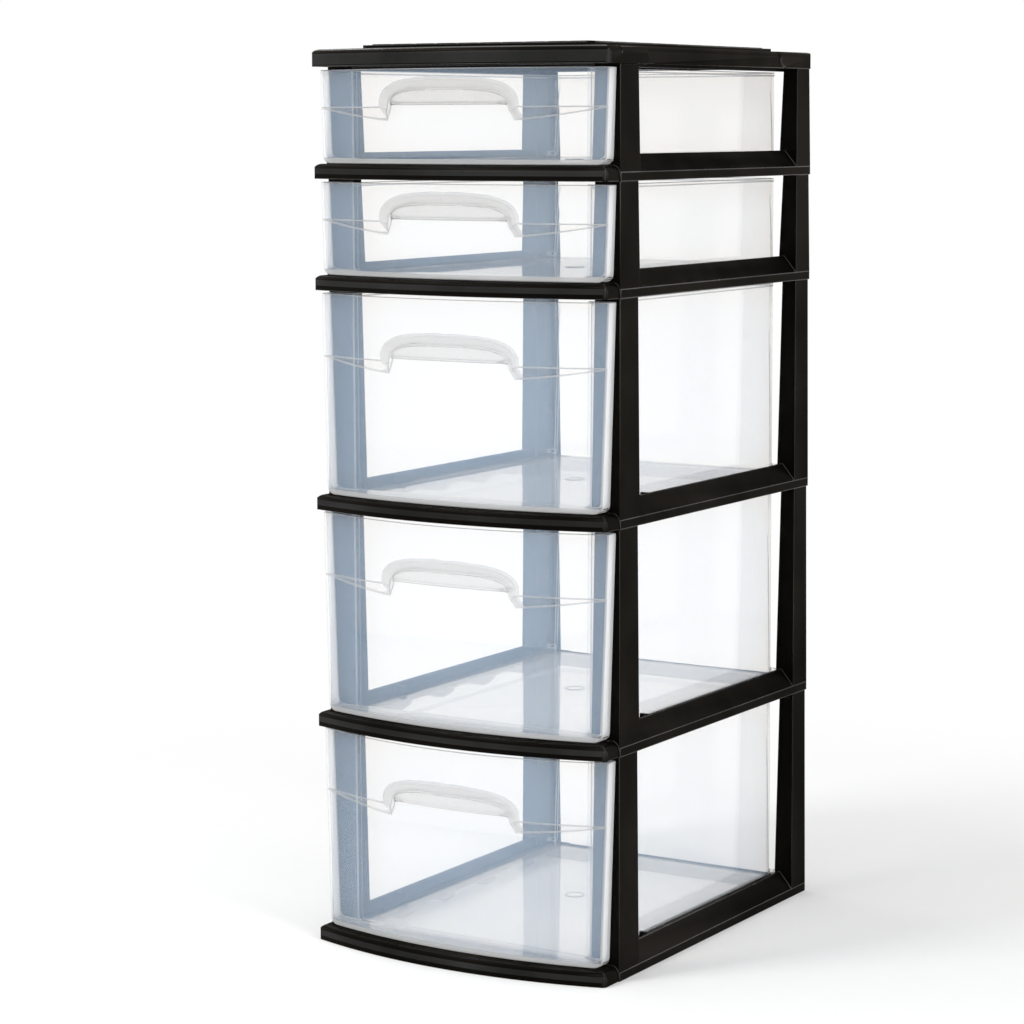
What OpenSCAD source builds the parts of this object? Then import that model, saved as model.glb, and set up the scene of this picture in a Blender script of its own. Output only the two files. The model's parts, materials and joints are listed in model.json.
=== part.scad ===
// Stacking drawer tower: a top cover, five open tier frames and five clear pull-out drawers.
// X is across the front, the fronts face -Y, Z is up, and the origin is under the middle.

/* [Tower] */
// Width across the side faces of the tiers
body_w = 318; // [290:1:360]
// Depth from the front face of the posts to the rear face
body_d = 380; // [330:1:430]
// Height of each of the three deep tiers
deep_h = 207; // [170:1:240]
// Height of each of the two shallow tiers
shallow_h = 104; // [92:1:140]
// Height of the cover's rim
cover_h = 16; // [14:0.5:22]
// Rise of the cover's middle panel above its rim
panel_rise = 5; // [3:0.5:9]

/* [Ledges] */
// Reach of the front ledges past the posts, at their ends
ledge_out = 24; // [18:1:34]
// Extra reach in the middle of the bowed front ledges
ledge_bow = 25; // [12:1:32]
// Height of the front ledges and of the runners
ledge_h = 14; // [12:0.5:18]
// Radius of the ledges' rounded upper edge
ledge_r = 7; // [4:0.5:9]

/* [Frames] */
// Plastic thickness of the frames and the cover
frame_t = 2.5; // [2:0.1:3.5]
// Width of the front posts in the side view
post_front = 36; // [30:1:44]
// Width of the rear posts in the side view
post_rear = 30; // [26:1:40]
// Width of the posts in the front view
post_leg = 30; // [26:1:36]
// Thickness of the side frames round their windows
side_t = 20; // [18:1:24]
// Height of the side rails under the windows
rail_h = 24; // [22:1:30]
// Height of the upright strip along each side rail
strip_h = 8; // [6:0.5:12]
// Inward lean of a post's outer faces, from bottom to top
post_lean = 1; // [0.5:0.1:1.5]
// Height of the spigots that enter the tier above
spigot_h = 9; // [6:0.5:10]
// Gap all round between a spigot and its socket
spigot_gap = 0.6; // [0.4:0.1:1]

/* [Drawers] */
// Plastic thickness of the drawers
drawer_t = 1.8; // [1.6:0.1:2.4]
// Gap between a drawer and the runners or ledge under it
slide_gap = 0.4; // [0.3:0.1:1]
// Gap between a drawer and the posts at each side
side_gap = 1; // [0.8:0.1:2]
// Gap over a drawer's front
head_gap = 3; // [2.8:0.1:5]
// Reach of a drawer front past the posts, at its ends
front_out = 14; // [12:0.5:18]
// Bow of the lower part of a drawer front
low_bow = 22; // [8:1:24]
// Bow of the proud upper part of a drawer front
high_bow = 31; // [12:1:32]
// Travel of a drawer to its stops
travel = 270; // [180:1:280]

/* [Pulls] */
// Height of the brow's edge above the tier's base on a deep front
deep_brow_z = 145; // [110:1:160]
// Height of the brow's edge above the tier's base on a shallow front
shallow_brow_z = 66; // [54:1:76]
// Lean of the face under the brow, from upright
brow_lean = 32; // [20:1:45]
// Width of the arched pull
pull_w = 146; // [100:1:170]
// Height of the arched pull above the brow's edge
pull_h = 25; // [18:1:28]
// Width of the sloping band inside the pull's arch
pull_band = 9; // [5:0.5:11]
// Depth of the band's inner edge behind the brow's face
pull_dip = 2; // [1:0.1:3]
// Lean of the panel behind the pull, from upright
panel_lean = 18; // [10:1:22]
// Height of that panel's lower edge above the brow's edge
panel_z = 2.6; // [1:0.1:6]

/* [Hidden] */
$fn = 48;
smooth = 360;
eps = 0.01;
half_w = body_w / 2;
cover_over = 1.5;
// front face of the posts and base of each tier, from the top tier down
front_y = -(body_d + cover_over - ledge_out - ledge_bow) / 2;
tier_z = [3 * deep_h + shallow_h, 3 * deep_h, 2 * deep_h, deep_h, 0];
cover_z = 3 * deep_h + 2 * shallow_h;
// ledge outline: one large arc between two rounded corners
lip_x = half_w - 1;
lip_R = (lip_x * lip_x + ledge_bow * ledge_bow) / (2 * ledge_bow);
lip_cy = lip_R - ledge_out - ledge_bow;
// rounding of the corners in plan
corner_r = 8;
// side rail
bevel_w = side_t - 6.5;
bevel_a = atan2(rail_h - strip_h, bevel_w);
rail_in = side_t - 3.5;
runner_w = post_leg + 12;
// drawer
box_half = half_w - post_leg - side_gap;
box_back = body_d - 12;
lug_y = box_back - 9;
stop_y = lug_y - travel;
box_z = ledge_h + slide_gap;
box_lean = 0.35;
step = 2;
front_half = half_w - 3.5;
front_lean = 1.8;
low_R = (front_half * front_half + low_bow * low_bow) / (2 * low_bow);
high_R = (front_half * front_half + high_bow * high_bow) / (2 * high_bow);
lug_z = ledge_h + 4;

black = [0.05, 0.045, 0.04];
clear = [0.80, 0.86, 0.92, 0.45];

function arc(c, r, a0, a1, n) =
    [for (i = [0:n]) c + r * [cos(a0 + (a1 - a0) * i / n), sin(a0 + (a1 - a0) * i / n)]];

// Outline with rounded upper corners; g moves it inward.
function crown(w, h, r, g) = concat(
    [[-w + g, -g], [w - g, -g]],
    arc([w - r, h - r], r - g, 0, 90, 8),
    arc([-w + r, h - r], r - g, 90, 180, 8));

// Outline with rounded lower corners: half widths at the bottom and top.
function tub_outline(bottom, top, z0, z1, r) = concat(
    arc([bottom - r, z0 + r], r, -90, 0, 6),
    [[top, z1], [-top, z1]],
    arc([-(bottom - r), z0 + r], r, 180, 270, 6));

// Block between a rectangle at z0 and another at z1, each [x0, x1, y0, y1].
module drafted(a, b, z0, z1) {
    polyhedron(
        points = [
            [a[0], a[2], z0], [a[1], a[2], z0], [a[1], a[3], z0], [a[0], a[3], z0],
            [b[0], b[2], z1], [b[1], b[2], z1], [b[1], b[3], z1], [b[0], b[3], z1]],
        faces = [[0, 1, 2, 3], [7, 6, 5, 4], [4, 5, 1, 0], [5, 6, 2, 1], [6, 7, 3, 2], [7, 4, 0, 3]]);
}

// Extrudes an XZ outline from y0 to y1.
module along_y(y0, y1) {
    translate([0, y1, 0])
        rotate([90, 0, 0])
            linear_extrude(y1 - y0)
                children();
}

// Extrudes a YZ outline across x0 to x1.
module along_x(x0, x1) {
    translate([x0, 0, 0])
        rotate([90, 0, 90])
            linear_extrude(x1 - x0)
                children();
}

module both_sides() {
    children();
    mirror([1, 0, 0]) children();
}

// Direction from a ledge's front corner to the bow's centre; w is the ledge's half width.
function corner_turn(w) = asin((w - corner_r) / (lip_R - corner_r));

// Waste outside a corner rounded in plan, between the directions a0 and a1 from its centre.
module corner_waste(a0, a1, h, r) {
    mid = (a0 + a1) / 2;
    translate([0, 0, -5])
        linear_extrude(h + 10)
            difference() {
                polygon([[0, 0], 24 * [cos(a0), sin(a0)], 30 * [cos(mid), sin(mid)], 24 * [cos(a1), sin(a1)]]);
                circle(r + 0.25);
            }
}

// Filled shape of a bowed, round-nosed ledge of half width w, as far back as y1; g moves its faces inward.
module ledge_volume(w, h, g, y1) {
    turn = corner_turn(w);
    difference() {
        intersection() {
            translate([0, lip_cy, 0])
                rotate_extrude($fn = smooth)
                    polygon(concat(
                        [[0, -g], [lip_R - g, -g]],
                        arc([lip_R - ledge_r, h - ledge_r], ledge_r - g, 0, 90, 8),
                        [[0, h - g]]));
            along_y(-ledge_out - ledge_bow - 1, y1)
                polygon(crown(w, h, ledge_r, g));
        }
        both_sides()
            translate([w - corner_r, lip_cy - (lip_R - corner_r) * cos(turn), 0])
                corner_waste(-90 + turn, 0, h, corner_r - g);
    }
}

// Bowed ledge, hollow from below, with ribs under its top and a wall across its back.
module ledge(w, h) {
    difference() {
        ledge_volume(w, h, 0, 2);
        ledge_volume(w, h, frame_t, 3);
    }
    // ribs under the top
    intersection() {
        translate([0, 0, -frame_t])
            ledge_volume(w, h, 1, 1);
        for (i = [-2:2])
            translate([i * body_w / 6 - 0.8, -ledge_out - ledge_bow, 1])
                cube([1.6, ledge_out + ledge_bow + 1, h]);
    }
    translate([-w + 4, 0, 0])
        cube([2 * w - 8, frame_t, h - 1]);
}

// Side rail of the right side: upright strip, bevel under the window, and the drawer's runner.
module side_rail() {
    inset = frame_t / cos(bevel_a);
    along_y(0.5, body_d - 0.5)
        translate([half_w, 0])
            mirror([1, 0])
                polygon([
                    [0, 0], [0, strip_h], [bevel_w, rail_h], [rail_in, rail_h], [rail_in, ledge_h],
                    [runner_w, ledge_h], [runner_w, ledge_h - frame_t],
                    [rail_in - frame_t, ledge_h - frame_t],
                    [rail_in - frame_t, strip_h + (rail_in - frame_t) * tan(bevel_a) - inset],
                    [frame_t, strip_h + frame_t * tan(bevel_a) - inset], [frame_t, 0]]);
    // guide that keeps the drawer's side off the posts
    translate([half_w - post_leg, post_front + 6, ledge_h - eps])
        cube([2, body_d - post_front - post_rear - 12, 3]);
    // stop for the drawer's lug
    translate([half_w - post_leg + 2, stop_y - 3, ledge_h - eps])
        cube([post_leg - 2 - rail_in + 1, 3, rail_h - ledge_h - 1]);
    // ribs under the runner
    for (i = [1:4])
        along_y(i * body_d / 5 - 0.8, i * body_d / 5 + 0.8)
            translate([half_w, 0])
                mirror([1, 0])
                    polygon([
                        [1, 0.5], [1, strip_h - 0.5], [bevel_w - 3, ledge_h - 1], [runner_w, ledge_h - 1],
                        [runner_w, ledge_h - 6], [runner_w - 12, 0.5]]);
}

// L-shaped post at the right front; w is its width in the side view. Cored from below.
module post(w, h) {
    top_t = side_t - 4;
    difference() {
        union() {
            drafted([half_w - side_t, half_w, 0, w],
                    [half_w - top_t, half_w - post_lean, post_lean, w - 2], 0, h);
            drafted([half_w - post_leg, half_w, 0, 4],
                    [half_w - post_leg + 3, half_w - post_lean, post_lean, 4], 0, h);
            drafted([half_w - top_t + 1.4, half_w - 3.6 - spigot_gap, 3.6 + spigot_gap, w - 4 - spigot_gap],
                    [half_w - top_t + 2.2, half_w - 4.4 - spigot_gap, 4.4 + spigot_gap, w - 5 - spigot_gap],
                    h - 1, h + spigot_h);
        }
        drafted([half_w - side_t + 4, half_w - 3.6, 3.6, w - 4],
                [half_w - top_t + frame_t, half_w - post_lean - frame_t, post_lean + frame_t, w - 2 - frame_t],
                -eps, h - 3);
        drafted([half_w - top_t + 3.8, half_w - 6, 6, w - 7], [half_w - top_t + 3.8, half_w - 6, 6, w - 7],
                h - 4, h + spigot_h - frame_t);
    }
}

// One tier: ledge, side rails, rear rail and four posts in one moulding.
module tier_frame(h) {
    color(black) {
        difference() {
            union() {
                ledge(lip_x, ledge_h);
                both_sides() side_rail();
                // rear rail, lower than the drawer's floor
                translate([-half_w + 1, body_d - 16, 0])
                    difference() {
                        cube([body_w - 2, 16, ledge_h - 1]);
                        translate([frame_t, frame_t, -1])
                            cube([body_w - 2 - 2 * frame_t, 16 - 2 * frame_t, ledge_h - frame_t]);
                    }
            }
            // room for the posts' sockets
            both_sides() {
                post_core(post_front);
                translate([0, body_d, 0]) mirror([0, 1, 0]) post_core(post_rear);
            }
        }
        both_sides() {
            post(post_front, h);
            translate([0, body_d, 0]) mirror([0, 1, 0]) post(post_rear, h);
        }
    }
}

// Space at the foot of a post that its socket takes up.
module post_core(w) {
    translate([half_w - side_t + 2, 2, -1])
        cube([side_t - 4, w - 4, rail_h + 2]);
}

// Filled shape of a drawer's box; g moves its faces inward.
module box_volume(h, g, y0, z0) {
    top = h - head_gap - 0.5 + (g > 0 ? 5 : 0);
    spread = (top - box_z) * tan(box_lean);
    intersection() {
        along_y(y0, body_d)
            polygon(tub_outline(box_half - g, box_half + spread - g, z0 + g, top, 6 - g));
        along_x(-half_w, half_w)
            polygon(concat(
                [[y0, z0 + g]],
                arc([box_back - 3 - g - 6, z0 + 6], 6 - g, -90, 0, 6),
                [[box_back - g, top], [y0, top]]));
        translate([0, 0, -1])
            linear_extrude(h + 10)
                union() {
                    translate([-half_w, y0])
                        square([body_w, box_back - 12 - y0]);
                    both_sides()
                        translate([box_half - 11, box_back - 12])
                            circle(12 - g);
                    translate([-box_half + 11, y0])
                        square([2 * box_half - 22, box_back - g - y0]);
                }
    }
}

// Outline of the pull's arch, from its right foot over the top; the feet end foot_x out, below the brow.
function arch_points(w, rise, foot_x, drop) = concat(
    [[foot_x, -drop], [foot_x, -13]],
    [for (i = [0:20]) let (a = 180 * i / 20)
        [w * sign(cos(a)) * pow(abs(cos(a)), 0.62), rise * pow(sin(a), 0.72)]],
    [[-foot_x, -13], [-foot_x, -drop]]);

// Distance of the brow's face behind its middle, x from the middle.
function bow_back(x) = high_R - sqrt(high_R * high_R - x * x);

// One ring of the pull's cutter: the outline with each point at depth y behind the brow's face.
function on_bow(outline, y) = [for (p = outline) [p[0], bow_back(p[0]) + y, p[1]]];

// One ring of the pull's cutter in an upright plane.
function on_plane(outline, y) = [for (p = outline) [p[0], y, p[1]]];

// Cutter of a pull with a sloping band inside its arch; g moves its faces outward.
module pull_plug(g) {
    lead = 1;
    out = lead * pull_band / pull_dip + g;
    outer = arch_points(pull_w / 2 + out, pull_h + out, pull_w / 2 - 4 + g, 30);
    inner = arch_points(pull_w / 2 - pull_band + g, pull_h - pull_band + g, pull_w / 2 - 4.5 + g, 30);
    n = len(outer);
    translate([0, -front_out - high_bow, 0])
        polyhedron(
            points = concat(on_plane(outer, -9), on_bow(outer, g - lead),
                            on_bow(inner, g + pull_dip), on_plane(inner, 16)),
            faces = concat(
                [[for (i = [n - 1:-1:0]) i]],
                [[for (i = [0:n - 1]) 3 * n + i]],
                [for (k = [0:2], i = [0:n - 1]) [k * n + i, k * n + (i + 1) % n, (k + 1) * n + i]],
                [for (k = [0:2], i = [0:n - 1])
                    [k * n + (i + 1) % n, (k + 1) * n + (i + 1) % n, (k + 1) * n + i]]));
}

// Leaning panel behind a pull, before it is cut to the arch; g moves its faces inward.
module pull_panel(g) {
    foot_r = high_R - pull_dip - (pull_h - pull_band - panel_z) * tan(panel_lean) - g / cos(panel_lean);
    translate([0, high_R - front_out - high_bow, panel_z + g])
        cylinder(h = pull_h, r1 = foot_r + g * tan(panel_lean), r2 = foot_r + (pull_h + g) * tan(panel_lean),
                 $fn = smooth);
}

// Filled shape of a drawer's front; g moves its faces inward.
module front_volume(h, brow, g, z0) {
    top = h - head_gap + (g > 0 ? 5 : 0);
    drop = high_bow - low_bow + 9;
    brow_g = g / cos(brow_lean);
    low_half = front_half - (h - head_gap - box_z) * tan(front_lean);
    deep = front_out + high_bow;
    intersection() {
        along_y(-deep - 5, -1 - g)
            polygon(tub_outline(low_half - g, front_half + (top - h + head_gap) * tan(front_lean) - g, z0, top, 8));
        union() {
            translate([0, low_R - front_out - low_bow, 0])
                cylinder(h = h + 10, r = low_R - g, $fn = smooth);
            difference() {
                translate([0, high_R - front_out - high_bow, 0]) {
                    translate([0, 0, brow])
                        cylinder(h = h + 10 - brow, r = high_R - g, $fn = smooth);
                    translate([0, 0, brow - drop])
                        cylinder(h = drop, r1 = high_R - brow_g - drop * tan(brow_lean), r2 = high_R - brow_g,
                                 $fn = smooth);
                }
                translate([0, 0, brow])
                    difference() {
                        pull_plug(g);
                        intersection() {
                            pull_panel(g);
                            translate([-pull_w / 2, -front_out - high_bow, 0])
                                cube([pull_w, 40, pull_h - pull_band + g]);
                        }
                    }
            }
        }
    }
}

// One clear drawer: bowed front with brow and arched pull, stepped floor, tapered tub.
module drawer(h, brow) {
    color(clear) {
        difference() {
            union() {
                difference() {
                    union() {
                        front_volume(h, brow, 0, box_z);
                        box_volume(h, 0, -6, box_z);
                    }
                    // the floor behind the front steps up over the ledge
                    difference() {
                        translate([-half_w, -60, 0])
                            cube([body_w, 62, box_z + step]);
                        front_skirt(h, brow);
                    }
                }
                // bead round the rim of the box
                intersection() {
                    translate([-box_half - 4, 1, h - head_gap - 3.5])
                        cube([2 * box_half + 8, box_back + 4, 3]);
                    box_rim(h);
                }
                // lugs that meet the stops
                both_sides()
                    translate([box_half - 1, lug_y, lug_z])
                        cube([7, 5, 4]);
            }
            front_volume(h, brow, drawer_t, box_z + step + drawer_t);
            box_volume(h, drawer_t, -6, box_z + step);
            box_volume(h, drawer_t, 2 + drawer_t, box_z);
        }
        // gate mark in the middle of the floor
        translate([0, body_d / 2, box_z + drawer_t - 0.5])
            cylinder(h = 1, r = 9);
    }
}

// Edge under the front that hides the step.
module front_skirt(h, brow) {
    difference() {
        front_volume(h, brow, 0, box_z);
        front_volume(h, brow, drawer_t, box_z - 2);
    }
}

module box_rim(h) {
    difference() {
        translate([0, 0, -1])
            linear_extrude(h)
                rim_plan(1);
        translate([0, 0, -2])
            linear_extrude(h + 2)
                rim_plan(-drawer_t + 0.5);
    }
}

module rim_plan(g) {
    x = box_half + (deep_h - box_z) * tan(box_lean) * 0.6;
    union() {
        translate([-x - g, 0]) square([2 * x + 2 * g, box_back - 12]);
        both_sides() translate([x - 12, box_back - 12]) circle(12 + g);
        translate([-x + 12, 0]) square([2 * x - 24, box_back + g]);
    }
}

// Curved end line of a proud corner in the side view, from the foot up; y is its place at the top.
function block_end(y) = concat(
    [[y + 9, 0]],
    arc([y + cover_h - 4, cover_h - 4], cover_h - 4, 255, 180, 6),
    [[y, cover_h]]);

// Filled shape of the cover behind its ledge, with proud corners.
module cover_volume() {
    over_w = half_w + cover_over;
    over_d = body_d + cover_over;
    along_y(0, body_d - 1)
        polygon(crown(half_w, cover_h, 5, 0));
    difference() {
        intersection() {
            union() {
                intersection() {
                    along_y(0, 70)
                        polygon(crown(over_w, cover_h, 5, 0));
                    along_x(-over_w, over_w)
                        polygon(concat([[0, 0]], block_end(48), [[0, cover_h]]));
                }
                intersection() {
                    along_y(body_d - 70, over_d)
                        polygon(crown(over_w, cover_h, 5, 0));
                    along_x(-over_w, over_w)
                        polygon(concat([[over_d, 0]], block_end(body_d - 68), [[over_d, cover_h]]));
                }
            }
            along_x(-over_w, over_w)
                polygon(crown(over_d, cover_h, 5, 0));
        }
        both_sides()
            translate([over_w - corner_r, over_d - corner_r, 0])
                corner_waste(0, 90, cover_h, corner_r);
    }
}

// Cover: rim with proud corners, round-nosed front, sockets, skirts and a raised, tiled panel.
module cover() {
    color(black) {
        difference() {
            union() {
                ledge(half_w + cover_over, cover_h);
                difference() {
                    cover_volume();
                    // hollow from below
                    intersection() {
                        along_y(frame_t, body_d)
                            polygon(crown(half_w, cover_h, 5, frame_t));
                        along_x(-half_w, half_w)
                            polygon(crown(body_d, cover_h, 5, frame_t));
                    }
                }
                // sockets for the posts of the top tier
                both_sides() {
                    socket(post_front);
                    translate([0, body_d, 0]) mirror([0, 1, 0]) socket(post_rear);
                    // skirt between the posts
                    translate([half_w - side_t + 4, post_front + 1, -3])
                        cube([frame_t, body_d - post_front - post_rear - 2, cover_h + 2]);
                }
                translate([-half_w + post_leg - 1, 1, -2.3])
                    cube([body_w - 2 * post_leg + 2, frame_t, cover_h]);
                raised_panel();
                // ribs under the plate
                for (i = [-1:1])
                    translate([i * body_w / 4 - 0.8, 2, cover_h - 9])
                        cube([1.6, body_d - 4, 8]);
                for (i = [1:4])
                    translate([-half_w + side_t, i * body_d / 5 - 0.8, cover_h - 9])
                        cube([body_w - 2 * side_t, 1.6, 8]);
            }
            // hollow of the raised panel
            panel_block(frame_t, cover_h - frame_t - 1, panel_rise + 1);
        }
    }
}

module socket(w) {
    difference() {
        translate([half_w - side_t, 0.5, 0])
            cube([side_t - 0.5, w - 0.5, cover_h - 1]);
        translate([half_w - side_t + 4, 3.6, -1])
            cube([side_t - 7.6, w - 7.6, spigot_h + 1 + spigot_gap]);
    }
}

module panel_block(g, z0, rise) {
    x = half_w - 34 - g;
    y0 = 8 + g;
    y1 = body_d - 16 - g;
    r = 6 - g;
    translate([0, 0, z0])
        linear_extrude(rise)
            union() {
                translate([-x, y0 + r]) square([2 * x, y1 - y0 - 2 * r]);
                translate([-x + r, y0]) square([2 * x - 2 * r, y1 - y0]);
                both_sides() {
                    translate([x - r, y0 + r]) circle(r);
                    translate([x - r, y1 - r]) circle(r);
                }
            }
}

module raised_panel() {
    nx = 10;
    ny = 14;
    sx = (body_w - 80) / nx;
    sy = (body_d - 36) / ny;
    panel_block(0, cover_h - 1, panel_rise);
    // tiles on the panel
    for (i = [0:nx - 1])
        for (j = [0:ny - 1])
            translate([(i - nx / 2) * sx + 1.5, 14 + j * sy + 1.5, cover_h + panel_rise - 2])
                cube([sx - 3, sy - 3, 2]);
}

module top_cover() {
    translate([0, front_y, cover_z]) cover();
}

module frame_1() {
    translate([0, front_y, tier_z[0]]) tier_frame(shallow_h);
}

module frame_2() {
    translate([0, front_y, tier_z[1]]) tier_frame(shallow_h);
}

module frame_3() {
    translate([0, front_y, tier_z[2]]) tier_frame(deep_h);
}

module frame_4() {
    translate([0, front_y, tier_z[3]]) tier_frame(deep_h);
}

module frame_5() {
    translate([0, front_y, tier_z[4]]) tier_frame(deep_h);
}

module drawer_1() {
    translate([0, front_y, tier_z[0]]) drawer(shallow_h, shallow_brow_z);
}

module drawer_2() {
    translate([0, front_y, tier_z[1]]) drawer(shallow_h, shallow_brow_z);
}

module drawer_3() {
    translate([0, front_y, tier_z[2]]) drawer(deep_h, deep_brow_z);
}

module drawer_4() {
    translate([0, front_y, tier_z[3]]) drawer(deep_h, deep_brow_z);
}

module drawer_5() {
    translate([0, front_y, tier_z[4]]) drawer(deep_h, deep_brow_z);
}

top_cover();
frame_1();
frame_2();
frame_3();
frame_4();
frame_5();
drawer_1();
drawer_2();
drawer_3();
drawer_4();
drawer_5();
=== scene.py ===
"""Looks of a stacking drawer tower: black moulded frames and cover, and clear pull-out drawers.

The tower stands on z = 0 with its drawer fronts toward -Y. Sizes are in metres. Each CAD node is
replaced by a piece that is refined from it, so the piece fills the node's space and moves with its body.
"""

import json
import logging
import math
from dataclasses import dataclass, field
from enum import Enum, IntEnum

import bmesh
import bpy
from mathutils import Matrix, Vector


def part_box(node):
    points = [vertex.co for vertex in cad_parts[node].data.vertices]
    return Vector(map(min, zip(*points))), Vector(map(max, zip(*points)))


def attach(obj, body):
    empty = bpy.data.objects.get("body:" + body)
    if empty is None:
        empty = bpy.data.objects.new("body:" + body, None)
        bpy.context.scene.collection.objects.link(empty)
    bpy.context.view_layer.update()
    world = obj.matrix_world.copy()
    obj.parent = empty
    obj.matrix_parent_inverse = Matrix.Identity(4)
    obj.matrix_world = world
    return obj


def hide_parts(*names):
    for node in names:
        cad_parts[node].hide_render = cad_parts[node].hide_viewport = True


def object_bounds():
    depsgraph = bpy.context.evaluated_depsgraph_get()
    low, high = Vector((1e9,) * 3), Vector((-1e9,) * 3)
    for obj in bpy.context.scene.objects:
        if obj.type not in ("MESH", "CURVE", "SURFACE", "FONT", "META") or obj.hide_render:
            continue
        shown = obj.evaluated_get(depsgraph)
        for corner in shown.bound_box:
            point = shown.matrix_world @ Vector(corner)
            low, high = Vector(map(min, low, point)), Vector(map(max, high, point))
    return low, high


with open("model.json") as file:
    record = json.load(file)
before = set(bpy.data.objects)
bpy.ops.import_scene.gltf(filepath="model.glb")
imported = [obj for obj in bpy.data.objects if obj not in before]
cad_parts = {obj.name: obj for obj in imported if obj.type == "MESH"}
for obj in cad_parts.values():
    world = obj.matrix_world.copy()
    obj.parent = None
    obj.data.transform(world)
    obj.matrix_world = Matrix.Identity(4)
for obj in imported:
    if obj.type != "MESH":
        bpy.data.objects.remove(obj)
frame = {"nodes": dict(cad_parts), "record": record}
CAD_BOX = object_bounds()
log = logging.getLogger("drawer_tower")

Triple = tuple[float, float, float]
Socket = bpy.types.NodeSocket

IMAGE_SIDE = 1024
SENSOR_WIDTH = 36.0
CLEAR_LAYERS = 48
WHITE = (1, 1, 1, 1)
NOISE_SPAN = (0.3, 0.7)

TOWER_TOP = CAD_BOX[1][2]
MERGE_DISTANCE = 2e-6
CUT_DISTANCE = 1e-6
FLAT_ANGLE = math.radians(0.2)


class Slot(Enum):
    """Material slots of the record."""

    BLACK = "black_frame"
    CLEAR = "clear_drawer"


class Black(IntEnum):
    """Finishes of a black piece, by their place in its list of materials."""

    FACE = 0
    # EDGE, LIP and BAND are painted highlights: on the rounded edges, along the lip's top and across the
    # lip's front.
    EDGE = 1
    LIP = 2
    BAND = 3


class Clear(IntEnum):
    """Finishes of a drawer, by their place in its list of materials."""

    WALL = 0
    # EDGE paints shade and highlight lines on the rounded edges in place of refraction.
    EDGE = 1
    BAND = 2
    PANEL = 3
    FLOOR = 4
    RETURN = 5
    FOOT = 6


def add_node(tree: bpy.types.NodeTree, kind: str, inputs: dict | None = None,
             **settings: object) -> bpy.types.Node:
    """Adds a node to a tree.

    Args:
        tree: The shader or geometry tree.
        kind: The node's type.
        inputs: Values or sockets for its inputs, by name or index.
        settings: The node's own settings.

    Returns:
        The new node.
    """
    node = tree.nodes.new(kind)
    for key, value in settings.items():
        setattr(node, key, value)
    for key, value in (inputs or {}).items():
        if isinstance(value, Socket):
            tree.links.new(value, node.inputs[key])
        else:
            node.inputs[key].default_value = value
    return node


class Bench:
    """Builds the shader tree of one material or world."""

    def __init__(self, owner: bpy.types.Material | bpy.types.World, kind: str = "Material") -> None:
        """Empties the owner's tree and adds its output.

        Args:
            owner: The material or world.
            kind: Material or World.
        """
        owner.use_nodes = True
        self.owner = owner
        self.tree = owner.node_tree
        self.tree.nodes.clear()
        self.output = self.add("Output" + kind)

    def add(self, kind: str, inputs: dict | None = None, **settings: object) -> bpy.types.Node:
        """Adds a shader node, its kind given without the ShaderNode prefix."""
        return add_node(self.tree, "ShaderNode" + kind, inputs, **settings)

    def place(self) -> Socket:
        """Returns the place on the object, in metres."""
        return self.add("TexCoord").outputs["Object"]

    def noise(self, place: Socket, scale: float, detail: float) -> Socket:
        """Returns soft noise from 0 to 1, with scale waves a metre and detail finer layers."""
        return self.add("TexNoise", {"Vector": place, "Scale": scale, "Detail": detail}).outputs[0]

    def math(self, operation: str, first: Socket, second: Socket | float) -> Socket:
        """Joins two numbers with an operation of the Math node."""
        return self.add("Math", {0: first, 1: second}, operation=operation).outputs[0]

    def blend(self, amount: Socket, first: Socket | Triple, second: Socket | Triple) -> Socket:
        """Mixes two colours, each a socket or red, green and blue."""
        colours = [item if isinstance(item, Socket) else (*item, 1) for item in (first, second)]
        return self.add("Mix", {0: amount, 6: colours[0], 7: colours[1]}, data_type="RGBA").outputs[2]

    def scale(self, value: Socket, low: float, high: float, start: float = 0.0, end: float = 1.0) -> Socket:
        """Maps a value from start..end to low..high, clamped.

        Args:
            value: The socket to map.
            low: Result at start.
            high: Result at end.
            start: Lower end of the value.
            end: Upper end of the value.

        Returns:
            The mapped socket.
        """
        node = self.add("MapRange", {"Value": value, "From Min": start, "From Max": end,
                                     "To Min": low, "To Max": high})
        return node.outputs[0]

    def facing(self, normal: Socket | None = None) -> Socket:
        """Returns 0 where the surface is seen head-on and 1 where it is seen along itself."""
        turned = {} if normal is None else {"Normal": normal}
        return self.add("LayerWeight", {"Blend": 0.5, **turned}).outputs["Facing"]

    def bump(self, height: Socket, strength: float, depth: float) -> Socket:
        """Returns the surface's normal, raised by a height that is depth metres deep."""
        return self.add("Bump", {"Height": height, "Strength": strength, "Distance": depth}).outputs[0]

    def mix(self, amount: Socket | float, first: Socket, second: Socket) -> Socket:
        """Mixes two shaders."""
        return self.add("MixShader", {0: amount, 1: first, 2: second}).outputs[0]

    def finish(self, surface: Socket) -> bpy.types.Material | bpy.types.World:
        """Connects the surface and returns the material or world."""
        self.tree.links.new(surface, self.output.inputs["Surface"])
        return self.owner


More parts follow.
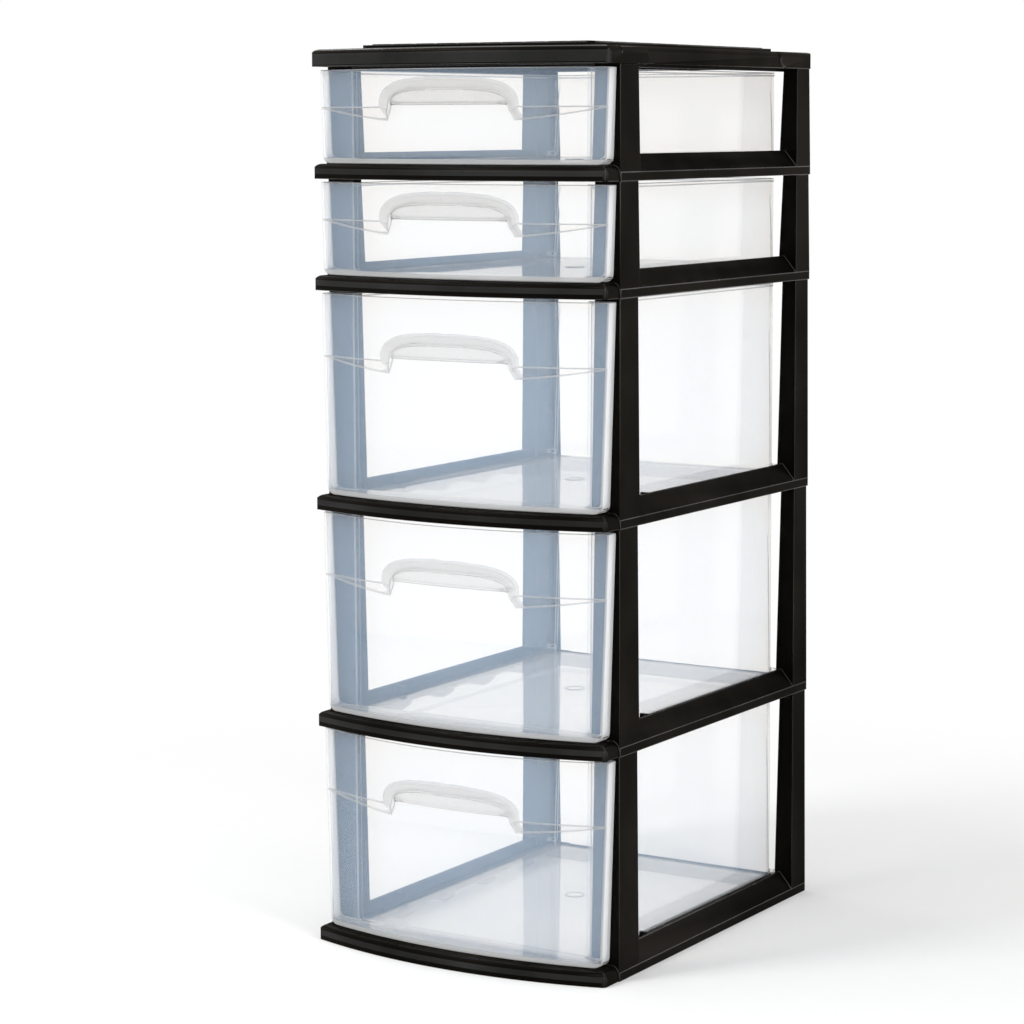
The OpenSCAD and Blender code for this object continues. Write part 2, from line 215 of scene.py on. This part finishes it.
@dataclass(frozen=True)
class BlackMoulding:
    """Satin black moulded plastic with a fine grain and faint flow marks, its convex edges painted lighter
    as a highlight.
    """

    name: str
    colour: Triple = (0.0022, 0.0019, 0.0015)
    edge_highlight_colour: Triple = (0.014, 0.013, 0.012)
    gloss: Triple = (0.8, 0.8, 0.8)
    roughness: float = 0.33
    smoother: float = 0.05
    rougher: float = 0.07
    sheen: float = 0.0022
    sheen_edge: float = 0.04
    sheen_power: float = 2.0
    cloud_scale: float = 9.0
    mottling: float = 1.35
    patches: tuple[float, float] = (0.7, 1.5)
    patch_span: tuple[float, float] = (0.35, 0.65)
    flow_scale: float = 40.0
    flow_stretch: float = 0.12
    grain_scale: float = 2600.0
    grain_strength: float = 0.25
    grain_depth: float = 0.00002
    edge_highlight: float = 0.55
    edge_highlight_span: tuple[float, float] = (0.53, 0.62)

    def material(self) -> bpy.types.Material:
        """Builds the finish.

        Returns:
            The material.
        """
        bench = Bench(bpy.data.materials.new(self.name))
        place = bench.place()
        cloud = bench.noise(place, self.cloud_scale, detail=4.0)
        grain = bench.noise(place, self.grain_scale, detail=2.0)
        stretch = (1.0, 1.0, self.flow_stretch)
        drawn_out = bench.add("Mapping", {"Vector": place, "Scale": stretch}).outputs[0]
        flow = bench.noise(drawn_out, self.flow_scale, detail=3.0)
        pointed = bench.add("NewGeometry").outputs["Pointiness"]
        # Convex edges, found by their pointiness, take a lighter colour: a painted highlight along them.
        edge_highlight = bench.scale(pointed, 0.0, self.edge_highlight, *self.edge_highlight_span)
        mottled = bench.blend(cloud, self.colour, tuple(part * self.mottling for part in self.colour))
        colour = bench.blend(edge_highlight, mottled, self.edge_highlight_colour)
        worn = bench.scale(flow, self.roughness - self.smoother, self.roughness + self.rougher, *NOISE_SPAN)
        bump = bench.bump(grain, self.grain_strength, self.grain_depth)
        body = bench.add("BsdfPrincipled", {"Base Color": colour, "Roughness": worn, "Normal": bump,
                                            "Specular IOR Level": 0.0}).outputs[0]
        gloss = bench.add("BsdfAnisotropic", {"Color": (*self.gloss, 1), "Roughness": worn,
                                              "Normal": bump}).outputs[0]
        grazing = bench.math("POWER", bench.facing(bump), self.sheen_power)
        even = bench.scale(grazing, self.sheen, self.sheen_edge)
        patch = bench.scale(cloud, *self.patches, *self.patch_span)
        return bench.finish(bench.mix(bench.math("MULTIPLY", even, patch), body, gloss))


@dataclass(frozen=True)
class ClearMoulding:
    """Clear, milky moulded plastic: what doesn't pass is scattered, and it mirrors at a low angle."""

    name: str
    passing: Triple = (0.951, 0.928, 0.899)
    passing_edge: Triple = (0.88, 0.85, 0.81)
    white: float = 1.32
    roughness: float = 0.045
    roughness_shares: tuple[float, float] = (0.8, 1.25)
    ior: float = 1.49
    mirror_power: float = 5.0
    edge_power: float = 4.0
    milk: float = 0.10
    cloud_scale: float = 5.0
    wave_scale: float = 14.0
    wave_strength: float = 0.35
    wave_depth: float = 0.0002
    scuff_scale: float = 900.0

    def material(self) -> bpy.types.Material:
        """Builds the finish.

        Returns:
            The material.
        """
        bench = Bench(bpy.data.materials.new(self.name))
        place = bench.place()
        cloud = bench.noise(place, self.cloud_scale, detail=3.0)
        wave = bench.noise(place, self.wave_scale, detail=1.0)
        scuff = bench.noise(place, self.scuff_scale, detail=3.0)
        bump = bench.bump(wave, self.wave_strength, self.wave_depth)
        facing = bench.facing()
        milk = bench.scale(cloud, 0.0, self.milk, *NOISE_SPAN)
        depth = bench.math("ADD", bench.math("POWER", facing, self.edge_power), milk)
        passing = bench.blend(depth, self.passing, self.passing_edge)
        # What doesn't pass is scattered, half of it to the front and half through.
        lost = bench.add("VectorMath", {0: (1.0, 1.0, 1.0), 1: passing}, operation="SUBTRACT").outputs[0]
        milky = bench.add("VectorMath", {0: lost, "Scale": self.white}, operation="SCALE").outputs[0]
        clear = bench.add("BsdfTransparent", {"Color": passing}).outputs[0]
        front = bench.add("BsdfDiffuse", {"Color": milky}).outputs[0]
        through = bench.add("BsdfTranslucent", {"Color": milky}).outputs[0]
        body = bench.add("AddShader", {0: clear, 1: bench.mix(0.5, front, through)}).outputs[0]
        smooth, rough = (self.roughness * share for share in self.roughness_shares)
        worn = bench.scale(scuff, smooth, rough, *NOISE_SPAN)
        gloss = bench.add("BsdfAnisotropic", {"Roughness": worn, "Normal": bump}).outputs[0]
        head_on = ((self.ior - 1) / (self.ior + 1)) ** 2
        mirror = bench.scale(bench.math("POWER", facing, self.mirror_power), head_on, 1.0)
        return bench.finish(bench.mix(mirror, body, gloss))


BLACK_FINISHES = {
    Black.FACE: BlackMoulding("black plastic", gloss=(0.85, 0.77, 0.67)),
    # A lighter colour and a stronger reflection on the rounded edges: a painted highlight.
    Black.EDGE: BlackMoulding("black plastic painted edge highlights", colour=(0.008, 0.007, 0.006), roughness=0.24,
                              sheen=0.045, sheen_edge=0.26),
    # A lighter colour and a stronger reflection on the lip's top facets: a painted highlight line.
    Black.LIP: BlackMoulding("black plastic painted lip highlight", colour=(0.004, 0.0035, 0.003), roughness=0.28,
                             sheen=0.012, sheen_edge=0.05),
    # A stronger reflection on a band across the lip's front: a painted highlight band.
    Black.BAND: BlackMoulding("black plastic painted highlight band", roughness=0.36, sheen=0.026, sheen_edge=0.08),
}
CLEAR_FINISHES = {
    Clear.WALL: ClearMoulding("clear plastic"),
    # Milky rounded edges, dark over light and pale over dark: painted shade and highlight lines in place of
    # refraction.
    Clear.EDGE: ClearMoulding("clear plastic painted refraction edges", passing=(0.42, 0.42, 0.42),
                              passing_edge=(0.2, 0.2, 0.2), white=0.72, roughness=0.12),
    Clear.BAND: ClearMoulding("frosted band", passing=(0.64, 0.64, 0.64),
                              passing_edge=(0.4, 0.4, 0.4), white=0.80, roughness=0.30),
    Clear.PANEL: ClearMoulding("frosted panel", passing=(0.74, 0.735, 0.73),
                               passing_edge=(0.5, 0.5, 0.5), white=0.92, roughness=0.30),
    Clear.FLOOR: ClearMoulding("clear plastic floor", passing=(0.80, 0.79, 0.78),
                               passing_edge=(0.70, 0.69, 0.68), white=1.22),
    Clear.RETURN: ClearMoulding("clear plastic ends", passing=(0.42, 0.41, 0.40),
                                passing_edge=(0.3, 0.3, 0.3), white=1.1, roughness=0.12),
    Clear.FOOT: ClearMoulding("clear plastic foot", passing=(0.55, 0.55, 0.55),
                              passing_edge=(0.4, 0.4, 0.4), white=1.1, roughness=0.12),
}


@dataclass
class Moulding:
    """One moulded piece, refined from its CAD node: joined, with its sharp edges rounded.

    An edge is rounded by the width edge where its faces meet at more than corner degrees, unless it is
    shorter than shortest.
    """

    node: str
    body: str
    finishes: list[bpy.types.Material]
    slot: Slot = Slot.BLACK
    edge: float = 0.0008
    edge_finish: int = Black.EDGE
    segments: int = 2
    corner: float = 28.0
    shortest: float = 0.0
    flat_weight: int = 90
    piece: bpy.types.Object | None = field(default=None, init=False)

    def build(self) -> bpy.types.Object:
        """Builds the piece, dresses it and lets it stand for its node.

        Returns:
            The finished piece.
        """
        piece = bpy.data.objects.new(self.node + "_moulding", self.joined())
        bpy.context.scene.collection.objects.link(piece)
        self.round_edges(piece)
        self.piece = bake_modifiers(piece)
        self.keep_in_box()
        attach(self.piece, self.body)
        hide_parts(self.node)
        return self.piece

    def joined(self) -> bpy.types.Mesh:
        """Copies the node's triangles, joins them and gives the faces their finishes.

        Returns:
            The new mesh, its long faces cut into triangles so that the rounding keeps them flat.
        """
        mesh = frame["nodes"][self.node].data.copy()
        mesh.name = self.node + "_moulding"
        mesh.materials.clear()
        drop_normals(mesh)
        bm = bmesh.new()
        bm.from_mesh(mesh)
        bmesh.ops.remove_doubles(bm, verts=bm.verts, dist=MERGE_DISTANCE)
        self.edit(bm)
        bmesh.ops.dissolve_limit(bm, angle_limit=FLAT_ANGLE, verts=bm.verts, edges=bm.edges,
                                 delimit={"NORMAL"})
        self.cut(bm)
        # The rounding moves corners, and a face of more than four would then no longer be flat.
        bmesh.ops.triangulate(bm, faces=[face for face in bm.faces if len(face.verts) > 4])
        self.dress(bm)
        bm.to_mesh(mesh)
        bm.free()
        for finish in self.finishes:
            mesh.materials.append(finish)
        return mesh

    def dress(self, bm: bmesh.types.BMesh) -> None:
        """Gives each face its finish, and each edge its weight in the rounding.

        Args:
            bm: The joined mesh.
        """
        bm.normal_update()
        for face in bm.faces:
            face.material_index = self.finish_of(face)
            face.smooth = True
        weight = bm.edges.layers.float.new("bevel_weight_edge")
        for edge in bm.edges:
            edge[weight] = float(self.is_rounded(edge))

    def edit(self, bm: bmesh.types.BMesh) -> None:
        """Changes the joined mesh before its flat faces are merged."""

    def cut(self, bm: bmesh.types.BMesh) -> None:
        """Cuts faces where one finish meets another."""

    def finish_of(self, face: bmesh.types.BMFace) -> int:
        """Returns the number of a face's finish."""
        return 0

    def is_rounded(self, edge: bmesh.types.BMEdge) -> bool:
        """Tells whether an edge is sharp and long enough to be rounded.

        Args:
            edge: The edge.

        Returns:
            Whether it is rounded.
        """
        if len(edge.link_faces) != 2 or edge.calc_length() < self.shortest:
            return False
        return edge.calc_face_angle(0.0) > math.radians(self.corner)

    def round_edges(self, piece: bpy.types.Object) -> None:
        """Rounds the sharp edges and lets the large faces set the shading.

        Args:
            piece: The piece, whose edges bear their weights.
        """
        bevel = piece.modifiers.new("rounded edges", "BEVEL")
        bevel.width = self.edge
        bevel.segments = self.segments
        bevel.limit_method = "WEIGHT"
        bevel.offset_type = "WIDTH"
        # Clamped, every rounding would be as small as the shortest edge allows.
        bevel.use_clamp_overlap = False
        bevel.miter_outer = "MITER_SHARP"
        # The rounded faces take the edge finish: painted highlight lines on black pieces, painted shade and
        # highlight lines in place of refraction on drawers.
        bevel.material = self.edge_finish
        weigh = piece.modifiers.new("flat faces", "WEIGHTED_NORMAL")
        weigh.weight = self.flat_weight
        weigh.mode = "FACE_AREA"

    def keep_in_box(self) -> None:
        """Puts corners that the rounding pushed out back on the node's box."""
        low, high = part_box(self.node)
        for vertex in self.piece.data.vertices:
            for axis in range(3):
                vertex.co[axis] = min(max(vertex.co[axis], low[axis]), high[axis])


@dataclass
class BlackPiece(Moulding):
    """Piece of black plastic whose bowed lip bears painted highlights: a glossy line along its top and a
    band of stronger reflection on its front.

    The lip lies in front of lip_y. The facing limits are for the y or z of a face's normal.
    """

    lip_y: float = -0.175
    facing_front: float = -0.8
    not_back: float = -0.1
    facing_up: float = 0.85
    highlight_rise: float = 0.0045
    highlight_slope: tuple[float, float] = (-0.1, 0.3)
    line: Black = Black.LIP
    highlight_from: float = field(default=0.0, init=False)

    def __post_init__(self) -> None:
        """Finds the lower side of the painted highlight band."""
        self.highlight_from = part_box(self.node)[0][2] + self.highlight_rise

    def cut(self, bm: bmesh.types.BMesh) -> None:
        """Cuts the lip's front along the lower side of its painted highlight band.

        Args:
            bm: The joined mesh.
        """
        front = [face for face in bm.faces
                 if face.normal.y < self.facing_front and face.calc_center_median().y < self.lip_y]
        parts = dict.fromkeys(part for face in front for part in (face, *face.edges, *face.verts))
        cut_level(bm, list(parts), self.highlight_from)

    def finish_of(self, face: bmesh.types.BMFace) -> int:
        """Chooses among the faces, the lip's painted highlight line along its top and its painted highlight
        band.

        Args:
            face: The face.

        Returns:
            The finish's number.
        """
        middle = face.calc_center_median()
        if middle.y > self.lip_y or face.normal.y > self.not_back:
            return Black.FACE
        # The lip's top facets take the painted highlight line.
        if face.normal.z > self.facing_up:
            return self.line
        # A band across the lip's front takes the painted highlight band.
        low, high = self.highlight_slope
        in_highlight = low < face.normal.z < high and middle.z > self.highlight_from
        return Black.BAND if in_highlight else Black.FACE


@dataclass
class TierFrame(BlackPiece):
    """Open frame of one tier: bowed ledge, side rails, rear rail and four posts."""

    shortest: float = 0.0012


@dataclass
class Cover(BlackPiece):
    """Cover whose panel is closed and level, for its tiles to stand on."""

    shortest: float = 0.0018
    # The cover's lip top takes the brighter painted edge highlight.
    line: Black = Black.EDGE
    top: float = TOWER_TOP
    tile_height: float = 0.001
    above_panel: float = 0.8

    def edit(self, bm: bmesh.types.BMesh) -> None:
        """Takes the plain tiles off and closes the panel under them.

        Args:
            bm: The joined mesh.
        """
        level = self.top - self.tile_height * self.above_panel
        raised = [face for face in bm.faces if face.calc_center_median().z > level]
        bmesh.ops.delete(bm, geom=raised, context="FACES")
        open_edges = [edge for edge in bm.edges if edge.is_boundary]
        bmesh.ops.holes_fill(bm, edges=open_edges, sides=0)
        bmesh.ops.recalc_face_normals(bm, faces=bm.faces)


@dataclass
class Drawer(Moulding):
    """Clear drawer whose pull is frosted inside its arch.

    Its brow, foot and floor_top are heights over the tier's base, and the pull's rise and drop are
    measured from the brow.
    """

    slot: Slot = Slot.CLEAR
    edge: float = 0.0011
    edge_finish: int = Clear.EDGE
    lift: float = 0.0144
    deep_from: float = 0.12
    deep_brow: float = 0.145
    shallow_brow: float = 0.066
    front_y: float = -0.15
    face_y: float = -0.1665
    facing_up: float = 0.9
    facing_side: float = 0.7
    floor_top: float = 0.02
    foot: float = 0.0190
    pull_half: float = 0.073
    pull_rise: float = 0.025
    pull_drop: float = 0.013
    pull_end: float = 0.98
    side_power: float = 0.62
    rise_power: float = 0.72
    band: float = 0.0065
    band_corner: float = 4.0
    bow_radius: float = 0.47
    bow_match: float = 0.9976
    base: float = field(default=0.0, init=False)
    brow: float = field(default=0.0, init=False)

    def __post_init__(self) -> None:
        """Finds the tier's base, and the brow's height over it."""
        low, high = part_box(self.node)
        self.base = low[2] - self.lift
        self.brow = self.deep_brow if high[2] - low[2] > self.deep_from else self.shallow_brow

    def cut(self, bm: bmesh.types.BMesh) -> None:
        """Cuts the walls along the top of the front's foot."""
        cut_level(bm, [*bm.verts, *bm.edges, *bm.faces], self.base + self.foot)

    def finish_of(self, face: bmesh.types.BMFace) -> int:
        """Chooses among the floor, the front's foot and returns, and the pull and the wall round it.

        Args:
            face: The face.

        Returns:
            The finish's number.
        """
        middle = face.calc_center_median()
        if abs(face.normal.z) > self.facing_up and middle.z < self.base + self.floor_top:
            return Clear.FLOOR
        if middle.y < self.front_y and middle.z < self.base + self.foot:
            return Clear.FOOT
        if middle.y < self.face_y and abs(face.normal.x) > self.facing_side:
            return Clear.RETURN
        return self.pull_finish(middle, face.normal)

    def pull_finish(self, middle: Vector, normal: Vector) -> Clear:
        """Chooses among the pull's frosted band and panel, and the plain wall round them.

        Args:
            middle: The face's middle.
            normal: The face's normal.

        Returns:
            The finish.
        """
        over = middle.z - self.base - self.brow
        if middle.y > self.front_y or over < -self.pull_drop or abs(middle.x) > self.pull_half:
            return Clear.WALL
        side = middle.x / self.bow_radius
        bow = Vector((side, -math.sqrt(1 - side * side), 0.0))
        if abs(normal.dot(bow)) > self.bow_match or self.arch(middle.x, over, 0.0) > self.pull_end:
            return Clear.WALL
        return Clear.PANEL if self.arch(middle.x, over, self.band) < 1.0 else Clear.BAND

    def arch(self, x: float, rise: float, inset: float) -> float:
        """Tells how far out a place is in the pull's arch.

        Args:
            x: How far the place is from the drawer's middle.
            rise: Its height over the brow.
            inset: How far the outline is drawn in.

        Returns:
            1 on the outline, and less inside it.
        """
        across = (abs(x) / (self.pull_half - inset)) ** (2 / self.side_power)
        height = (max(rise, 0.0) / (self.pull_rise - inset)) ** (2 / self.rise_power)
        return across + height

    def is_rounded(self, edge: bmesh.types.BMEdge) -> bool:
        """Tells whether an edge is sharp or bounds the pull's band or panel.

        Args:
            edge: The edge.

        Returns:
            Whether it is rounded.
        """
        if super().is_rounded(edge):
            return True
        marks = {face.material_index for face in edge.link_faces}
        bent = edge.calc_face_angle(0.0) > math.radians(self.band_corner)
        return len(marks) == 2 and bool(marks & {Clear.BAND, Clear.PANEL}) and bent


@dataclass
class PanelTiles:
    """Rounded tiles in rows on the cover's panel, half sunk in it, where its plain tiles stood."""

    body: str
    finish: bpy.types.Material
    columns: int = 10
    rows: int = 14
    pitch: tuple[float, float] = (0.0238, 0.02457)
    gap: float = 0.003
    thickness: float = 0.002
    crease: float = 0.93
    smoothing: int = 3
    centre: tuple[float, float] = (0.0, 0.01975)
    top: float = TOWER_TOP

    def build(self) -> bpy.types.Object:
        """Lays the tiles.

        Returns:
            The tiles, as one plain mesh.
        """
        mesh = bpy.data.meshes.new("panel_tiles")
        piece = bpy.data.objects.new("panel_tiles", mesh)
        bpy.context.scene.collection.objects.link(piece)
        layout = piece.modifiers.new("tile layout", "NODES")
        layout.node_group, sockets = self.layout()
        values = {
            "Columns": self.columns,
            "Rows": self.rows,
            "Reach": (self.pitch[0] * (self.columns - 1), self.pitch[1] * (self.rows - 1), 0.0),
            "Tile": (self.pitch[0] - self.gap, self.pitch[1] - self.gap, self.thickness),
            "Place": (*self.centre, self.top - self.thickness / 2),
            "Crease": self.crease,
            "Finish": self.finish,
        }
        for name, value in values.items():
            layout[sockets[name]] = value
        bake_modifiers(piece)
        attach(piece, self.body)
        return piece

    def layout(self) -> tuple[bpy.types.NodeTree, dict[str, str]]:
        """Builds the node group that lays one tile on each point of a grid.

        Returns:
            The group, and its inputs' identifiers by name.
        """
        group = bpy.data.node_groups.new("tile layout", "GeometryNodeTree")
        kinds = {"Columns": "Int", "Rows": "Int", "Reach": "Vector", "Tile": "Vector", "Place": "Vector",
                 "Crease": "Float", "Finish": "Material"}
        sockets = {}
        for name, kind in kinds.items():
            socket = group.interface.new_socket(name, in_out="INPUT", socket_type="NodeSocket" + kind)
            sockets[name] = socket.identifier
        group.interface.new_socket("Tiles", in_out="OUTPUT", socket_type="NodeSocketGeometry")
        given = add_node(group, "NodeGroupInput").outputs
        split = add_node(group, "ShaderNodeSeparateXYZ", {0: given["Reach"]})
        grid = add_node(group, "GeometryNodeMeshGrid", {
            "Size X": split.outputs[0], "Size Y": split.outputs[1],
            "Vertices X": given["Columns"], "Vertices Y": given["Rows"]})
        block = add_node(group, "GeometryNodeMeshCube", {"Size": given["Tile"]})
        rounded = add_node(group, "GeometryNodeSubdivisionSurface", {
            "Mesh": block.outputs[0], "Level": self.smoothing, "Edge Crease": given["Crease"]})
        smooth = add_node(group, "GeometryNodeSetShadeSmooth", {"Geometry": rounded.outputs[0]})
        laid = add_node(group, "GeometryNodeInstanceOnPoints", {
            "Points": grid.outputs[0], "Instance": smooth.outputs[0]})
        moved = add_node(group, "GeometryNodeTransform", {
            "Geometry": laid.outputs[0], "Translation": given["Place"]})
        real = add_node(group, "GeometryNodeRealizeInstances", {"Geometry": moved.outputs[0]})
        dressed = add_node(group, "GeometryNodeSetMaterial", {
            "Geometry": real.outputs[0], "Material": given["Finish"]})
        add_node(group, "NodeGroupOutput", {0: dressed.outputs[0]})
        return group, sockets


def cut_level(bm: bmesh.types.BMesh, parts: list, height: float) -> None:
    """Cuts parts of a mesh along a level plane.

    Args:
        bm: The mesh.
        parts: The faces, edges and corners that may be cut.
        height: The plane's height.
    """
    bmesh.ops.bisect_plane(bm, geom=parts, dist=CUT_DISTANCE, plane_co=(0.0, 0.0, height),
                           plane_no=(0.0, 0.0, 1.0))


def drop_normals(mesh: bpy.types.Mesh) -> None:
    """Removes a mesh's stored normals, so that they follow its faces.

    Args:
        mesh: The mesh.
    """
    for name in ("custom_normal", "sharp_edge", "sharp_face"):
        layer = mesh.attributes.get(name)
        if layer is not None:
            mesh.attributes.remove(layer)


def bake_modifiers(piece: bpy.types.Object) -> bpy.types.Object:
    """Turns a piece with live modifiers into a plain mesh.

    Args:
        piece: The object whose modifiers are applied.

    Returns:
        The same object, with the result as its mesh and no modifier.
    """
    bpy.context.view_layer.update()
    depsgraph = bpy.context.evaluated_depsgraph_get()
    mesh = bpy.data.meshes.new_from_object(piece.evaluated_get(depsgraph), depsgraph=depsgraph)
    old = piece.data
    piece.modifiers.clear()
    piece.data = mesh
    mesh.name = old.name
    if old.users == 0:
        bpy.data.meshes.remove(old)
    return piece


@dataclass(frozen=True)
class Camera:
    """Camera in front of the tower, to its right, looking slightly down.

    Its angles are in degrees, and its focal length and rise in pixels of the picture.
    """

    yaw: float = 31.729
    pitch: float = 5.358
    roll: float = -0.104
    distance: float = 2.903
    focal: float = 2981.6
    rise: float = 111.5
    aim: Triple = (0.0, 0.02375, 0.5074)
    sideways: float = -0.0613
    clip_end: float = 60

    def axes(self) -> tuple[Vector, Vector, Vector]:
        """Turns the camera by its angles.

        Returns:
            Its right, up and forward directions.
        """
        yaw, pitch, roll = (math.radians(a) for a in (self.yaw, self.pitch, self.roll))
        level = math.cos(pitch)
        forward = Vector((-math.sin(yaw) * level, math.cos(yaw) * level, -math.sin(pitch)))
        right = Vector((math.cos(yaw), math.sin(yaw), 0.0))
        up = right.cross(forward)
        turned = math.cos(roll) * right + math.sin(roll) * up
        return turned, -math.sin(roll) * right + math.cos(roll) * up, forward

    def build(self) -> None:
        """Places the camera."""
        right, up, forward = self.axes()
        flat = Vector((math.cos(math.radians(self.yaw)), math.sin(math.radians(self.yaw)), 0.0))
        place = Vector(self.aim) - forward * self.distance + flat * self.sideways
        data = bpy.data.cameras.new("camera")
        data.sensor_width = SENSOR_WIDTH
        data.lens = self.focal / IMAGE_SIDE * SENSOR_WIDTH
        data.shift_y = -self.rise / IMAGE_SIDE
        data.clip_end = self.clip_end
        camera = bpy.data.objects.new("camera", data)
        rows = Matrix((right, up, -forward)).transposed()
        camera.matrix_world = Matrix.Translation(place) @ rows.to_4x4()
        bpy.context.scene.collection.objects.link(camera)
        bpy.context.scene.camera = camera


@dataclass(frozen=True)
class Lamp:
    """Soft rectangular lamp that faces the tower."""

    name: str
    place: Triple
    size: tuple[float, float]
    power: float
    mirrored: bool = True
    aim: Triple = (0.0, 0.0, 0.45)

    def build(self) -> None:
        """Hangs the lamp, which shows in glossy faces only where it is mirrored."""
        data = bpy.data.lights.new(self.name, "AREA")
        data.shape = "RECTANGLE"
        data.size, data.size_y = self.size
        data.energy = self.power
        lamp = bpy.data.objects.new(self.name, data)
        lamp.location = self.place
        toward = Vector(self.aim) - Vector(self.place)
        lamp.rotation_euler = toward.to_track_quat("-Z", "Y").to_euler()
        lamp.visible_glossy = self.mirrored
        bpy.context.scene.collection.objects.link(lamp)


@dataclass(frozen=True)
class Floor:
    """Pale floor that keeps the object's shadow and is white further out."""

    half: float = 14.0
    grey: tuple[float, float] = (0.78, 0.80)
    speck_scale: float = 60.0
    lift: float = 0.10
    white_from: float = 0.55
    white_full: float = 1.05

    def material(self) -> bpy.types.Material:
        """Builds the floor's finish.

        Returns:
            The material.
        """
        bench = Bench(bpy.data.materials.new("pale floor"))
        place = bench.place()
        tone = bench.scale(bench.noise(place, self.speck_scale, detail=2.0), *self.grey)
        colour = bench.add("CombineColor", {0: tone, 1: tone, 2: tone}).outputs[0]
        matt = bench.add("BsdfDiffuse", {"Color": colour}).outputs[0]
        path = bench.add("LightPath").outputs
        seen = bench.math("MAXIMUM", path["Is Camera Ray"], path["Is Glossy Ray"])
        lift = bench.scale(seen, 0.0, self.lift)
        glow = bench.add("Emission", {"Color": WHITE, "Strength": lift}).outputs[0]
        near = bench.add("AddShader", {0: matt, 1: glow}).outputs[0]
        white = bench.add("Emission", {"Color": WHITE, "Strength": 1.0}).outputs[0]
        away = bench.add("VectorMath", {0: place}, operation="LENGTH").outputs["Value"]
        far = bench.scale(away, 0.0, 1.0, self.white_from, self.white_full)
        return bench.finish(bench.mix(bench.math("MULTIPLY", far, seen), near, white))

    def build(self) -> None:
        """Lays the floor."""
        mesh = bpy.data.meshes.new("floor")
        bm = bmesh.new()
        bmesh.ops.create_grid(bm, x_segments=1, y_segments=1, size=self.half)
        bm.to_mesh(mesh)
        bm.free()
        mesh.materials.append(self.material())
        floor = bpy.data.objects.new("floor", mesh)
        bpy.context.scene.collection.objects.link(floor)


@dataclass(frozen=True)
class Surroundings:
    """White where they are seen and in mirrors, and elsewhere a plain ambient light."""

    ambient: float = 0.80

    def build(self) -> None:
        """Makes the scene's world."""
        bench = Bench(bpy.data.worlds.new("studio"), "World")
        path = bench.add("LightPath").outputs
        direct = bench.math("MAXIMUM", path["Is Camera Ray"], path["Is Transmission Ray"])
        seen = bench.math("MAXIMUM", direct, path["Is Glossy Ray"])
        strength = bench.scale(seen, self.ambient, 1.0)
        background = bench.add("Background", {"Color": WHITE, "Strength": strength})
        bpy.context.scene.world = bench.finish(background.outputs[0])


STUDIO = (
    Surroundings(),
    Floor(),
    Lamp("top lamp", (-0.85, -0.3, 1.9), (2.2, 0.18), 7),
    Lamp("front lamp", (-1.2, -2.0, 1.9), (0.8, 1.4), 34, mirrored=False),
    Lamp("side lamp", (2.4, -0.9, 1.3), (0.5, 2.0), 22),
    Camera(),
)


def make(node: str, body: str, black: list[bpy.types.Material],
         clear: list[bpy.types.Material]) -> Moulding:
    """Chooses the piece that stands for a node.

    Args:
        node: The node's name.
        body: The body that it rides on.
        black: The finishes of a black piece, in the order of Black.
        clear: The finishes of a drawer, in the order of Clear.

    Returns:
        The piece, not yet built.
    """
    if node.startswith("drawer"):
        return Drawer(node, body, clear)
    if node == "top_cover":
        return Cover(node, body, black)
    return TierFrame(node, body, black)


def report(piece: bpy.types.Object) -> None:
    """Logs a finished piece."""
    log.info("%s: %d faces", piece.name, len(piece.data.polygons))


def main() -> None:
    """Builds and dresses the tower."""
    logging.basicConfig(level=logging.INFO, format="%(name)s: %(message)s")
    scene = bpy.context.scene
    scene.view_settings.view_transform = "Standard"
    scene.cycles.transparent_max_bounces = CLEAR_LAYERS
    black = [BLACK_FINISHES[kind].material() for kind in Black]
    clear = [CLEAR_FINISHES[kind].material() for kind in Clear]
    for body, nodes in frame["record"]["behaviour"]["bodies"].items():
        for node in nodes:
            report(make(node, body, black, clear).build())
    report(PanelTiles("tower", black[Black.FACE]).build())
    for item in STUDIO:
        item.build()


if __name__ == "__main__":
    main()
